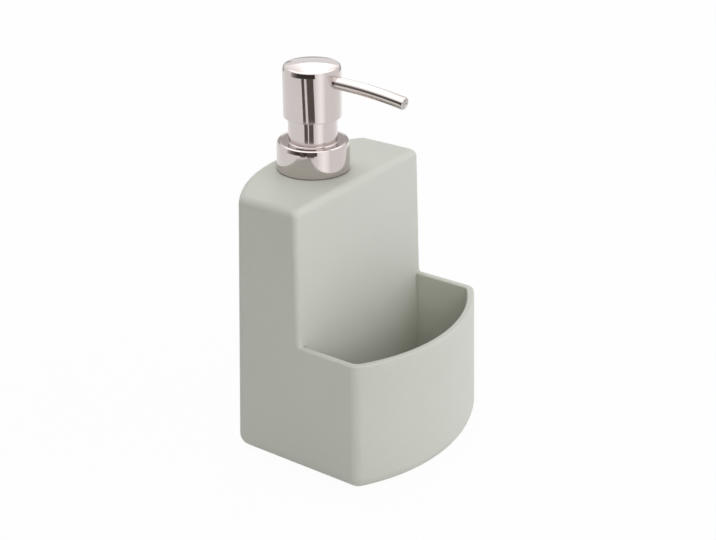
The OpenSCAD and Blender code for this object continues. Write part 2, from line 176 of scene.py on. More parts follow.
# The screw thread in millimetres, and its first and last turn
THREAD_PITCH = 4.2333
THREAD_CREST = 0.95
THREAD_HALF_W = 0.95
THREAD_FLANK = 0.55
THREAD_FADE = 1.2
THREAD_FIRST, THREAD_LAST = -1, 2.6
THREAD_ROWS = 56
NECK_THREAD_LOW, NECK_THREAD_HIGH, NECK_THREAD_PHASE = 0.7, 0.1, 0.25
NUT_THREAD_LOW, NUT_THREAD_HIGH, NUT_THREAD_PHASE = 0.4, 1.2, 0.75

# Sides of what is turned about an axis, and how a half section is rounded
LATHE_SIDES = 144
THREAD_SIDES = 180
NOZZLE_SIDES = 48
LIP_STEPS = 5
ROUND_STEPS = 5
ON_AXIS = 1e-6
NEARLY_STRAIGHT = math.radians(150)
MOST_OF_A_SIDE = 0.45

# Weight of the large faces in the soft shading, from 1 to 100, where 50 is neutral
LARGE_FACE_WEIGHT = 100


# Outlines of the casting

def lean(z):
    """How far a wall leans in at a height."""
    return z * LEAN


def half_w(inset):
    return BODY_W / 2 - inset


def bow_r(leaned):
    return (half_w(leaned) ** 2 + BOW_RISE ** 2) / (2 * BOW_RISE)


def bow_off(leaned):
    """How far the middle of the back bow's circle lies in front of the origin."""
    return bow_r(leaned) - BODY_D / 2 + leaned


def arc(cx, cy, r, a0, a1, steps):
    turns = [a0 + (a1 - a0) * k / steps for k in range(steps + 1)]
    return [(cx + r * math.cos(a), cy + r * math.sin(a)) for a in turns]


def back_bow(leaned, inset, r):
    """The back bow with its two corners, from the right side round to the left side."""
    x = half_w(leaned) - inset - r
    off = bow_off(leaned)
    y = math.sqrt((bow_r(leaned) - inset - r) ** 2 - x * x) - off
    a = math.atan2(y + off, x)
    return (arc(x, y, r, 0, a, CORNER_STEPS)
            + arc(0, -off, bow_r(leaned) - inset, a, math.pi - a, BOW_STEPS)[1:-1]
            + arc(-x, y, r, math.pi - a, math.pi, CORNER_STEPS))


def front_bow(leaned, inset, r):
    return [(-x, -y) for x, y in back_bow(leaned, inset, r)]


def soft_r(r, inset):
    return max(r - inset, LEAST_R)


def lift(points, z):
    return [(x, y, z) for x, y in points]


def across(x, y, z):
    """Points between the left and right ends of a straight front, without the ends."""
    return [(x * (2 * k / FRONT_STEPS - 1), y, z) for k in range(1, FRONT_STEPS)]


def rim_in(k):
    """How far point k of the basket's rim lies inside the wall's outer face."""
    if k <= RIM_STEPS:
        return RIM_EDGE_R * (1 - math.cos(math.pi / 2 * k / RIM_STEPS))
    return WALL - rim_in(RIM_LAST - k)


def rim_down(k):
    return RIM_EDGE_R * (1 - math.sin(math.pi / 2 * min(k, RIM_LAST - k) / RIM_STEPS))


def corner_in(k, r):
    """How far point k of the tower's front corner of radius r lies inside its side face."""
    if k <= RIM_STEPS:
        return r * (1 - math.cos(math.pi / 2 * k / RIM_STEPS))
    return r + rim_in(k) - RIM_EDGE_R


def corner_back(k, r):
    return r * (1 - math.sin(math.pi / 2 * k / RIM_STEPS)) if k <= RIM_STEPS else 0.0


def wall_ring(z, inset):
    """A ring of the outer wall below the rim, round the basket and the tower."""
    leaned = lean(z)
    x = half_w(leaned + inset)
    y = TOWER_Y + leaned + RIM_EDGE_R
    front = front_bow(leaned, inset, max(FRONT_CORNER_R - inset, BASE_CORNER_R))
    back = back_bow(leaned, inset, max(CORNER_R - inset, BASE_CORNER_R))
    return lift([(-x, y)] + front + [(x, y)] + back, z)


def rim_row(k):
    """The row through point k of the rim's profile, from the tower's left side round to its right side."""
    z = RIM_H - rim_down(k)
    leaned = lean(z)
    x = half_w(leaned + rim_in(k))
    y = TOWER_Y + leaned + corner_back(k, RIM_EDGE_R)
    r = max(FRONT_CORNER_R - rim_in(k), BASKET_CORNER_R)
    return lift([(-x, y)] + front_bow(leaned, rim_in(k), r) + [(x, y)], z)


def basket_ring(z, inset):
    leaned = lean(z)
    x = half_w(leaned + WALL + inset)
    y = TOWER_Y + leaned - inset
    bow = front_bow(leaned, WALL + inset, soft_r(BASKET_CORNER_R, inset))
    return lift([(-x, y)] + bow + [(x, y)], z) + across(-x, y, z)


def tower_foot():
    """The tower's lowest ring, whose front corners are the ends of the rim."""
    z = RIM_H - RIM_EDGE_R
    left = [rim_row(k)[0] for k in range(RIM_LAST + 1)]
    right = [(-x, y, h) for x, y, h in reversed(left)]
    back = lift(back_bow(lean(z), 0, CORNER_R), z)
    return left + across(right[0][0], left[-1][1], left[-1][2]) + right + back


def tower_ring(z, inset, r):
    leaned = lean(z)
    x = half_w(leaned + inset)
    y = TOWER_Y + leaned + inset
    left = [(corner_in(k, r) - x, y + corner_back(k, r), z) for k in range(RIM_LAST + 1)]
    right = [(-a, b, h) for a, b, h in reversed(left)]
    back = lift(back_bow(leaned, inset, soft_r(CORNER_R, inset)), z)
    return left + across(right[0][0], y, z) + right + back


def tank_ring(z, inset):
    """A ring of the tank, with as many points as a ring of the tower."""
    leaned = lean(z)
    r = soft_r(INNER_CORNER_R, inset)
    x = half_w(leaned + WALL + inset) - r
    y = TOWER_Y + leaned + WALL + inset + r
    left = lift(arc(-x, y, r, math.pi, 1.5 * math.pi, RIM_LAST), z)
    right = lift(arc(x, y, r, 1.5 * math.pi, 2 * math.pi, RIM_LAST), z)
    back = lift(back_bow(leaned, WALL + inset, r), z)
    return left + across(x, y - r, z) + right + back


def edge_curve(z, r, up):
    """Height and inset of a rounded edge of radius r that ends at height z."""
    turns = [math.pi / 2 * k / EDGE_STEPS for k in range(EDGE_STEPS + 1)]
    return [(z - up * r * (1 - math.sin(a)), r * (1 - math.cos(a))) for a in turns]


def hole_ring(outline, z):
    """Points round the neck's hole, each in line with a point of an outline."""
    turns = [math.atan2(y - PUMP_Y, x) for x, y, _ in outline]
    return [(HOLE_R * math.cos(a), PUMP_Y + HOLE_R * math.sin(a), z) for a in turns]


# Meshes

class Shell:
    """Points and faces of one closed surface, built ring by ring."""

    def __init__(self):
        self.points = []
        self.faces = []
        self.keys = {}

    def ring(self, points):
        """Adds a row of points, and returns their numbers; a point met before keeps its number."""
        numbers = []
        for p in points:
            key = tuple(round(v, 5) for v in p)
            if key not in self.keys:
                self.keys[key] = len(self.points)
                self.points.append(p)
            numbers.append(self.keys[key])
        return numbers

    def strip(self, low, high, closed=True):
        """Faces between two rows that run the same way, seen from the side where they run to the right."""
        n = len(low)
        for i in range(n if closed else n - 1):
            j = (i + 1) % n
            face = []
            for v in (low[i], low[j], high[j], high[i]):
                if v not in face:
                    face.append(v)
            if len(face) > 2:
                self.faces.append(face)

    def grid(self, rows, closed=True):
        for low, high in zip(rows, rows[1:]):
            self.strip(low, high, closed)


def add_piece(name, points, faces, materials, body, replaced):
    """A smooth mesh piece from points in millimetres, which rides on a body in place of a node."""
    mesh = bpy.data.meshes.new(name)
    mesh.from_pydata([[v * MM for v in p] for p in points], [], faces)
    mesh.validate()
    mesh.update()
    for material in materials:
        mesh.materials.append(material)
    mesh.polygons.foreach_set("use_smooth", [True] * len(mesh.polygons))
    piece = bpy.data.objects.new(name, mesh)
    bpy.context.scene.collection.objects.link(piece)
    weighted = piece.modifiers.new("soft_shading", "WEIGHTED_NORMAL")
    weighted.mode = "FACE_AREA"
    weighted.weight = LARGE_FACE_WEIGHT
    weighted.keep_sharp = True
    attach(piece, body)
    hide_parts(replaced)
    return piece


def casting(glazed, bare):
    """The ceramic body: one closed surface round the basket, the tower and the tank, bare underneath."""
    shell = Shell()
    walls = [shell.ring(wall_ring(z, i)) for z, i in reversed(edge_curve(0, BASE_EDGE_R, -1))]
    walls.append(shell.ring(wall_ring(RIM_H - RIM_EDGE_R, 0)))
    shell.grid(walls)
    shell.faces.append(list(reversed(walls[0])))
    underside = len(shell.faces) - 1
    shell.grid([shell.ring(rim_row(k)) for k in range(RIM_LAST + 1)], closed=False)

    first = rim_row(RIM_LAST)
    basket = [shell.ring(first + across(first[0][0], first[0][1], first[0][2]))]
    basket += [shell.ring(basket_ring(z, i)) for z, i in edge_curve(FLOOR_T, INNER_FLOOR_R, -1)]
    shell.grid(basket)
    shell.faces.append(basket[-1])

    tower = [shell.ring(tower_foot())]
    for k in range(1, COVE_STEPS + 1):
        share = k / COVE_STEPS
        r = RIM_EDGE_R + (TOWER_CORNER_R - RIM_EDGE_R) * math.sqrt(1 - (1 - share) ** 2)
        tower.append(shell.ring(tower_ring(RIM_H + COVE_H * share, 0, r)))
    edge = edge_curve(TOWER_H, TOP_EDGE_R, 1)
    tower += [shell.ring(tower_ring(z, i, max(TOWER_CORNER_R, i))) for z, i in edge]
    top_outline = tower_ring(TOWER_H, TOP_EDGE_R, max(TOWER_CORNER_R, TOP_EDGE_R))
    top_hole = shell.ring(hole_ring(top_outline, TOWER_H))
    shell.grid(tower + [top_hole])

    tank = [shell.ring(tank_ring(z, i)) for z, i in reversed(edge_curve(FLOOR_T, INNER_FLOOR_R, -1))]
    tank += [shell.ring(tank_ring(z, i)) for z, i in edge_curve(TOWER_H - WALL, TOP_EDGE_R, 1)]
    low_hole = shell.ring(hole_ring(top_outline, TOWER_H - WALL))
    inside = tank + [low_hole, top_hole]
    shell.faces.append(tank[0])
    shell.grid([list(reversed(row)) for row in inside])

    piece = add_piece("casting", shell.points, shell.faces, [glazed, bare],
                      "caddy", "caddy_body")
    piece.data.polygons[underside].material_index = 1


def rounded(section, r):
    """A closed half section with its corners rounded, except those on the axis or marked sharp."""
    out = []
    for i, here in enumerate(section):
        corner = np.array(here[:2], float)
        back = np.array(section[i - 1][:2], float) - corner
        ahead = np.array(section[(i + 1) % len(section)][:2], float) - corner
        back_length, ahead_length = np.linalg.norm(back), np.linalg.norm(ahead)
        turn = math.acos(max(-1.0, min(1.0, float(back @ ahead) / (back_length * ahead_length))))
        if corner[0] < ON_AXIS or turn > NEARLY_STRAIGHT or len(here) > 2:
            out.append((corner[0], corner[1]))
            continue
        reach = min(r / math.tan(turn / 2), MOST_OF_A_SIDE * back_length, MOST_OF_A_SIDE * ahead_length)
        start, end = corner + back / back_length * reach, corner + ahead / ahead_length * reach
        for k in range(ROUND_STEPS + 1):
            share = k / ROUND_STEPS
            point = (1 - share) ** 2 * start + 2 * share * (1 - share) * corner + share * share * end
            out.append((point[0], point[1]))
    return out


def lathe(section):
    """Points and faces of a closed half section (radius, height) turned about the pump's axis."""
    shell = Shell()
    turns = [2 * math.pi * k / LATHE_SIDES for k in range(LATHE_SIDES)]
    rows = []
    for r, z in section:
        if r < ON_AXIS:
            rows.append(shell.ring([(0, PUMP_Y, z)]) * LATHE_SIDES)
        else:
            rows.append(shell.ring([(r * math.cos(a), PUMP_Y + r * math.sin(a), z) for a in turns]))
    shell.grid(rows + [rows[0]])
    return shell.points, shell.faces


def head_shell(material):
    """The plated cap: a soft bend under its edge, a small radius at the edge and a crowned top."""
    side_steps, bend_steps, edge_steps, crown_steps = 14, 10, 14, 24
    turn = math.radians(HEAD_TURN)
    edge_x = HEAD_R - HEAD_BEND + (HEAD_BEND - HEAD_EDGE_R) * math.cos(turn)
    crown_z = HEAD_TOP - HEAD_CROWN_R
    edge_z = crown_z + math.sqrt((HEAD_CROWN_R - HEAD_EDGE_R) ** 2 - edge_x ** 2)
    edge_a = math.atan2(edge_z - crown_z, edge_x)
    bend_z = edge_z - (HEAD_BEND - HEAD_EDGE_R) * math.sin(turn)
    inner_top = HEAD_TOP - HEAD_CROWN - SHELL_T
    inner_r = HEAD_R - SHELL_T
    rows = [(inner_r, HEAD_Z + HEAD_LIP_BREAK)]
    rows += [(inner_r + HEAD_LIP_MIDDLE, HEAD_Z + HEAD_LIP_MIDDLE), (inner_r + HEAD_LIP_BREAK, HEAD_Z)]
    rows += arc(HEAD_R - HEAD_LIP_R, HEAD_Z + HEAD_LIP_R, HEAD_LIP_R, -math.pi / 2, 0, LIP_STEPS)
    rows += [(HEAD_R, z) for z in np.linspace(HEAD_Z + HEAD_LIP_H, bend_z, side_steps)[:-1]]
    rows += arc(HEAD_R - HEAD_BEND, bend_z, HEAD_BEND, 0, turn, bend_steps)
    rows += arc(edge_x, edge_z, HEAD_EDGE_R, turn, edge_a, edge_steps)[1:]
    rows += arc(0, crown_z, HEAD_CROWN_R, edge_a, math.pi / 2, crown_steps)[1:-1]
    rows += [(0, HEAD_TOP), (0, inner_top), (inner_r - HEAD_CORNER, inner_top)]
    rows += [(inner_r - HEAD_CORNER / 4, inner_top - HEAD_CORNER), (inner_r, inner_top - 2 * HEAD_CORNER)]
    points, faces = lathe(rows)
    add_piece("head_plating", points, faces, [material], "head", "head_shell")


def collar_shell(material):
    """The plated collar: its side, a soft bend, a crest, a plate just below it and the chimney."""
    side_steps, bend_steps, crest_steps, foot_steps, chimney_steps, inner_steps = 10, 12, 16, 8, 12, 6
    low = TOWER_H + COLLAR_GAP
    slope, turn = math.radians(COLLAR_SLOPE), math.radians(COLLAR_TURN)
    crest = COLLAR_TOP - COLLAR_CREST
    bend = crest + (COLLAR_CREST - COLLAR_BEND) * math.sin(turn) + COLLAR_BEND * math.sin(slope)
    bend_r = COLLAR_R - math.tan(slope) * (bend - low)
    bend_at = bend_r - COLLAR_BEND * math.cos(slope)
    crest_r = bend_at + (COLLAR_BEND - COLLAR_CREST) * math.cos(turn)
    foot = COLLAR_TOP - COLLAR_PLATE_DROP + CHIMNEY_FOOT_R
    inner_r = COLLAR_R - SHELL_T
    bore_r = CHIMNEY_R - SHELL_T
    lip_r = COLLAR_LIP_R
    rows = [(inner_r, low + COLLAR_LIP_BREAK), (inner_r + COLLAR_LIP_BREAK, low), (COLLAR_R - lip_r, low)]
    rows += arc(COLLAR_R - lip_r - COLLAR_LIP_IN, low + lip_r, lip_r, -math.pi / 2, 0, LIP_STEPS)
    side = np.linspace(2 * lip_r, bend - low, side_steps)[:-1]
    rows += [(COLLAR_R - math.tan(slope) * h, low + h) for h in side]
    rows += arc(bend_at, bend - COLLAR_BEND * math.sin(slope), COLLAR_BEND, slope, turn, bend_steps)
    rows += arc(crest_r, crest, COLLAR_CREST, turn, math.radians(COLLAR_CREST_END), crest_steps)[1:]
    rows += arc(CHIMNEY_R + CHIMNEY_FOOT_R, foot, CHIMNEY_FOOT_R, 1.5 * math.pi, math.pi, foot_steps)
    rows += [(CHIMNEY_R, z) for z in np.linspace(foot, CHIMNEY_TOP - CHIMNEY_BREAK, chimney_steps)[1:]]
    rows += [(CHIMNEY_R - CHIMNEY_BREAK_MIDDLE, CHIMNEY_TOP - CHIMNEY_BREAK_MIDDLE)]
    rows += [(CHIMNEY_R - CHIMNEY_BREAK, CHIMNEY_TOP), (bore_r + CHIMNEY_INNER_BREAK, CHIMNEY_TOP)]
    rows += [(bore_r, CHIMNEY_TOP - CHIMNEY_INNER_BREAK), (bore_r, COLLAR_TOP - SHELL_T)]
    rows += arc(COLLAR_TOP_R - SHELL_T - COLLAR_INNER_R, NUT_TOP - COLLAR_INNER_R, COLLAR_INNER_R,
                math.pi / 2, 0, inner_steps)
    points, faces = lathe(rows)
    add_piece("collar_plating", points, faces, [material], "collar", "collar_shell")


def nozzle(material, lining):
    """A bent tube with a rounded rim at its tip, pale inside."""
    straight_steps, bend_steps, rim_steps = 4, 28, 12
    along = [NOZZLE_INNER, *np.linspace(HEAD_R - NOZZLE_INSET, NOZZLE_STRAIGHT, straight_steps)]
    bend = math.asin((NOZZLE_REACH - NOZZLE_STRAIGHT) / NOZZLE_BEND_R)
    path = [(s, NOZZLE_Z, 0.0) for s in along]
    for k in range(1, bend_steps + 1):
        a = bend * k / bend_steps
        s = NOZZLE_STRAIGHT + NOZZLE_BEND_R * math.sin(a)
        path.append((s, NOZZLE_Z - NOZZLE_BEND_R * (1 - math.cos(a)), a))
    rim_r = NOZZLE_T / 2
    middle_r = NOZZLE_R - rim_r
    rows = [(s, z, a, NOZZLE_R, 0.0) for s, z, a in path[:-1]]
    for k in range(rim_steps + 1):
        b = math.pi * k / rim_steps
        rows.append((*path[-1], middle_r + rim_r * math.cos(b), rim_r * math.sin(b) - rim_r))
    rows += [(s, z, a, NOZZLE_R - NOZZLE_T, 0.0) for s, z, a in reversed(path[:-1])]
    shell = Shell()
    rings = []
    for s, z, a, r, ahead in rows:
        ring = []
        for k in range(NOZZLE_SIDES):
            b = 2 * math.pi * k / NOZZLE_SIDES
            out = r * math.sin(b)
            ring.append((r * math.cos(b),
                         PUMP_Y - (s + ahead * math.cos(a) + out * math.sin(a)),
                         z - ahead * math.sin(a) + out * math.cos(a)))
        rings.append(shell.ring(ring))
    shell.grid(rings + [rings[0]])
    piece = add_piece("nozzle_plating", shell.points, shell.faces, [material, lining],
                      "head", "nozzle_tube")
    bore = len(path) * NOZZLE_SIDES
    for polygon in piece.data.polygons[-bore:]:
        polygon.material_index = 1


def limited(share):
    return max(0.0, min(1.0, share))


def thread_height(z, turn, low, high, crest, phase):
    """How far a screw thread stands out at a height and a turn, fading in at its two ends."""
    along = (z - low) / THREAD_PITCH - turn / (2 * math.pi) - phase
    off = (along - round(along)) * THREAD_PITCH
    middle = z - off
    flank = 0.0
    if THREAD_FIRST < along < THREAD_LAST:
        flank = limited((THREAD_HALF_W - abs(off)) / THREAD_FLANK)
    fade = limited((middle - low) / THREAD_FADE) * limited((high - middle) / THREAD_FADE)
    return crest * flank * flank * (3 - 2 * flank) * fade


def threaded(section, first, last, low, high, crest, phase):
    """A lathe whose rows from first to last carry a screw thread.

    The thread stands out by crest, or points inward where crest is negative.
    """
    shell = Shell()
    rows = []
    for i, (r, z) in enumerate(section):
        row = []
        for k in range(THREAD_SIDES):
            turn = 2 * math.pi * k / THREAD_SIDES
            here = r + (thread_height(z, turn, low, high, crest, phase) if first <= i <= last else 0.0)
            row.append((here * math.cos(turn), PUMP_Y + here * math.sin(turn), z))
        rows.append(shell.ring(row))
    shell.grid(rows + [rows[0]])
    return shell.points, shell.faces


def neck_insert(material):
    """The plastic neck that is glued into the tower, with the screw thread outside."""
    bore, skirt, flange = NECK_BORE_R, NECK_SKIRT_R, NECK_FLANGE_R
    foot = TOWER_H - NECK_SKIRT_H
    low, high = TOWER_H + NECK_FLANGE_T, NECK_TOP - NECK_BEVEL
    section = rounded([(bore, foot), (skirt, foot), (skirt, TOWER_H), (flange, TOWER_H),
                       (flange, low), (NECK_R, low, "sharp")], NECK_EDGE_R)
    first = len(section)
    section += [(NECK_R, z) for z in np.linspace(low, high, THREAD_ROWS)[1:]]
    last = len(section) - 1
    section += [(NECK_R - NECK_BEVEL_MIDDLE, NECK_TOP - NECK_BEVEL_MIDDLE), (NECK_R - NECK_BEVEL, NECK_TOP)]
    section += [(bore + NECK_BORE_BEVEL, NECK_TOP), (bore, NECK_TOP - NECK_BORE_BEVEL)]
    points, faces = threaded(section, first, last, low + NECK_THREAD_LOW, high - NECK_THREAD_HIGH,
                             THREAD_CREST, NECK_THREAD_PHASE)
    add_piece("neck", points, faces, [material], "caddy", "neck_insert")


def collar_nut(material):
    """The plastic nut inside the collar, with the screw thread in its bore."""
    low = TOWER_H + NECK_FLANGE_T + NUT_GAP
    slope = (COLLAR_R - COLLAR_TOP_R) / (COLLAR_TOP - TOWER_H)
    outer = COLLAR_R - SHELL_T - SHELL_GAP
    bore, opening = NUT_BORE_R, NUT_OPENING_R
    section = rounded([(bore, FLANGE_TOP, "sharp"), (bore, low), (outer - slope * (low - TOWER_H), low),
                       (outer - slope * (NUT_TOP - TOWER_H) - SHELL_T, NUT_TOP), (opening, NUT_TOP),
                       (opening, FLANGE_TOP)], NUT_EDGE_R)
    inside = [(bore, z) for z in np.linspace(FLANGE_TOP, low + NUT_MOUTH, THREAD_ROWS)[1:-1]]
    section = section[:1] + inside + section[1:]
    points, faces = threaded(section, 1, len(inside), low + NUT_THREAD_LOW, FLANGE_TOP - NUT_THREAD_HIGH,
                             -THREAD_CREST, NUT_THREAD_PHASE)
    add_piece("nut", points, faces, [material], "collar", "collar_nut")


# Materials

class Finish:
    """A material of shader nodes around one Principled BSDF."""

    def __init__(self, name, **values):
        self.material = bpy.data.materials.new(name)
        self.material.use_nodes = True
        self.tree = self.material.node_tree
        self.shader = self.tree.nodes["Principled BSDF"]
        for key, value in values.items():
            self.shader.inputs[key.replace("_", " ")].default_value = value
        self.place = self.node("ShaderNodeTexCoord").outputs["Object"]

    def node(self, kind, **settings):
        made = self.tree.nodes.new(kind)
        for key, value in settings.items():
            setattr(made, key, value)
        return made

    def link(self, out, into):
        self.tree.links.new(out, into)

    def noise(self, scale, detail=3.0, roughness=0.55, stretch=(1, 1, 1)):
        mapping = self.node("ShaderNodeMapping")
        mapping.inputs["Scale"].default_value = stretch
        self.link(self.place, mapping.inputs["Vector"])
        made = self.node("ShaderNodeTexNoise")
        made.inputs["Scale"].default_value = scale
        made.inputs["Detail"].default_value = detail
        made.inputs["Roughness"].default_value = roughness
        self.link(mapping.outputs["Vector"], made.inputs["Vector"])
        return made.outputs["Fac"]

    def ramp(self, fac, low, high, span=(0.3, 0.7)):
        """Runs from low to high as a noise goes through a span; the usual one holds most of its values."""
        made = self.node("ShaderNodeMapRange")
        made.inputs["From Min"].default_value, made.inputs["From Max"].default_value = span
        made.inputs["To Min"].default_value = low
        made.inputs["To Max"].default_value = high
        self.link(fac, made.inputs["Value"])
        return made.outputs["Result"]

    def mix(self, fac, a, b):
        made = self.node("ShaderNodeMix", data_type="RGBA")
        self.link(fac, made.inputs["Factor"])
        for socket, value in ((made.inputs[6], a), (made.inputs[7], b)):
            if isinstance(value, tuple):
                socket.default_value = (*value, 1)
            else:
                self.link(value, socket)
        return made.outputs[2]

    def mottle(self, fac, dark, light):
        return self.mix(self.ramp(fac, 0, 1), dark, light)

    def colour(self, out):
        self.link(out, self.shader.inputs["Base Color"])

    def rough(self, fac, low, high):
        self.link(self.ramp(fac, low, high), self.shader.inputs["Roughness"])

    def bump(self, heights):
        """Chained bumps of (height, distance in metres)."""
        normal = None
        for height, distance in heights:
            made = self.node("ShaderNodeBump")
            made.inputs["Strength"].default_value = 1
            made.inputs["Distance"].default_value = distance
            self.link(height, made.inputs["Height"])
            if normal:
                self.link(normal, made.inputs["Normal"])
            normal = made.outputs["Normal"]
        self.link(normal, self.shader.inputs["Normal"])


def ceramic():
    finish = Finish("matt_ceramic", Specular_IOR_Level=0.35)
    dark, light, fleck = (0.567, 0.575, 0.514), (0.587, 0.595, 0.534), (0.607, 0.615, 0.556)
    cloud = finish.noise(22, detail=4, roughness=0.6)
    grain = finish.noise(420, roughness=0.6)
    base = finish.mottle(cloud, dark, light)
    finish.colour(finish.mix(finish.ramp(grain, 0, 0.35, span=(0.35, 0.75)), base, fleck))
    finish.rough(grain, 0.48, 0.6)
    finish.bump([(finish.noise(90, detail=2), 0.00006), (grain, 0.000025)])
    return finish.material


def bare_clay():
    finish = Finish("bare_clay", Specular_IOR_Level=0.2)
    dark, light, fleck = (0.60, 0.575, 0.52), (0.68, 0.655, 0.60), (0.42, 0.37, 0.31)
    grain = finish.noise(900, detail=4, roughness=0.65)
    speck = finish.noise(260, detail=2, roughness=0.4)
    base = finish.mottle(grain, dark, light)
    finish.colour(finish.mix(finish.ramp(speck, 0, 0.5, span=(0.66, 0.74)), base, fleck))
    finish.rough(grain, 0.78, 0.95)
    finish.bump([(grain, 0.00008)])
    return finish.material


def plating():
    finish = Finish("polished_plating", Metallic=1.0)
    haze = finish.noise(60, detail=4, roughness=0.6)
    finish.colour(finish.mottle(haze, (0.592, 0.537, 0.522), (0.608, 0.553, 0.538)))
    finish.rough(haze, 0.055, 0.085)
    finish.bump([(finish.noise(140, detail=2), 0.0000035)])
    return finish.material


def plastic(name, dark, light, roughness, **values):
    finish = Finish(name, **values)
    cloud = finish.noise(45, roughness=0.5)
    grain = finish.noise(1400, detail=2, roughness=0.5)
    finish.colour(finish.mottle(cloud, dark, light))
    finish.rough(grain, roughness - 0.05, roughness + 0.08)
    finish.bump([(grain, 0.000012)])
    return finish.material


def steel():
    finish = Finish("bright_steel", Metallic=1.0)
    streak = finish.noise(700, roughness=0.6, stretch=(1, 1, 0.15))
    finish.colour(finish.mottle(streak, (0.60, 0.61, 0.63), (0.72, 0.73, 0.74)))
    finish.rough(streak, 0.16, 0.3)
    finish.bump([(streak, 0.000006)])
    return finish.material


def rubber():
    finish = Finish("grey_rubber", Specular_IOR_Level=0.3)
    grain = finish.noise(1100, detail=4, roughness=0.6)
    finish.colour(finish.mottle(grain, (0.085, 0.085, 0.09), (0.13, 0.13, 0.135)))
    finish.rough(grain, 0.7, 0.9)
    finish.bump([(grain, 0.00004)])
    return finish.material


def dress_nodes(look):
    """Gives every solid of the frame its material."""
    slots = {s["node"]: s["material_slot"] for s in frame["record"]["subparts"]}
    for name, node in frame["nodes"].items():
        material = look[slots[name]]
        node.data.materials.clear()
        node.data.materials.append(material)
        for polygon in node.data.polygons:
            polygon.material_index = 0


# Stage, light and camera

# The camera that was fitted to the photograph's outlines. Turns are in degrees, the focal length and the
# middle in pixels of the picture, the distance and the sensor in millimetres and the clip in metres
WIDTH, HEIGHT = 716, 540
CAMERA_AZ, CAMERA_EL, CAMERA_ROLL = -54.741, 25.264, 0.265
FOCAL, MIDDLE_U, MIDDLE_V = 1435.19, 359.287, 422.938
DISTANCE = 727.76
SENSOR = 36.0
CLIP_START = 0.01

# The floor, in metres, and the light of the world
FLOOR_HALF = 3.0
FLOOR_TONE = 0.82
FLOOR_ROUGHNESS = 0.9
FLOOR_WHITE_SHARE = 0.96
WORLD_WHITE = 0.98
AMBIENT = 0.26

WARM = (0.985, 1.0, 0.91)
NEUTRAL = (0.99, 1.0, 1.02)
COOL = (0.98, 0.985, 1.06)
LAMP_SIZE = 0.9
# Name, place, height of the point that it is aimed at, power and colour of each lamp, in metres and watts
LAMPS = [
    ("front_high", (0.55, -1.25, 1.25), 0.08, 4.8, COOL),
    ("front_low", (-0.2, -1.6, 0.45), 0.08, 4.6, COOL),
    ("front_left", (-1.1, -1.1, 0.9), 0.08, 7.6, WARM),
    ("right_low", (1.3, -1.0, 0.35), 0.08, 5.6, COOL),
    ("top", (0.1, 0.2, 1.6), 0.1, 7.4, NEUTRAL),
    ("back_low", (0.4, 1.7, 0.35), 0.08, 10.0, NEUTRAL),
    ("back_right", (1.5, 0.8, 0.5), 0.08, 6.0, NEUTRAL),
]


def greys(*levels):
    return [(v, v, v) for v in levels]


# Tones along the cards that only mirrors see
DARK = [(0.135, 0.115, 0.105)] * 2
DUSK = [(0.60, 0.58, 0.57), (0.22, 0.20, 0.19), (0.07, 0.06, 0.055)] + [(0.055, 0.045, 0.042)] * 4
GREY = [(0.54, 0.52, 0.51)] * 2
BRIGHT = greys(1.05, 1.25, 1.42, 1.3, 1.05)
BRIGHT_LOW = greys(1.0, 1.02, 1.1, 1.2, 0.9, 0.82, 0.92, 1.02, 1.0)
BRIGHT_HIGH = greys(1.0, 1.15, 1.5, 2.0, 2.1, 2.0, 1.5, 1.15, 1.0)
CARD_STEPS = 24
# Name, turns from the camera's side at the lower and upper edge, heights, radius and tones of each card,
# in degrees and metres
CARDS = [
    ("low_left", (-35.9, -19.7), (-35.9, -19.7), 0.1218, 0.1335, 0.085, DARK),
    ("low_front", (-15.4, 4.6), (-15.4, 4.6), 0.1218, 0.1335, 0.085, DARK),
    ("near_left", (-32.6, -22.0), (-38.2, -27.6), 0.1345, 0.1640, 0.085, DARK),
    ("near_front", (-13.7, 10.5), (-19.8, 5.0), 0.1345, 0.1640, 0.085, DARK),
    ("dark_upper", (-84.0, 13.0), (-84.0, 13.0), 0.064, 0.330, 0.400, DUSK),
    ("bright_right", (13.0, 53.0), (13.0, 53.0), 0.0, 0.420, 0.380, BRIGHT),
    ("bright_behind", (102.0, 238.0), (102.0, 238.0), 0.0, 0.100, 0.380, BRIGHT_LOW),
    ("grey_left", (188.0, 214.0), (188.0, 214.0), 0.110, 0.262, 0.380, GREY),
    ("grey_right", (146.0, 172.0), (146.0, 172.0), 0.110, 0.262, 0.380, GREY),
    ("bright_high", (163.0, 197.0), (163.0, 197.0), 0.320, 0.640, 0.380, BRIGHT_HIGH),
    ("grey_behind", (125.0, 235.0), (125.0, 235.0), 0.165, 0.1875, 0.085, GREY),
]
CEILING_SIDES = 72
CEILING_Z = 1.07
# Radius in metres and level of each ring of the ceiling
CEILING_RINGS = [(1.05, 1.9), (1.35, 1.1), (2.9, 1.0)]


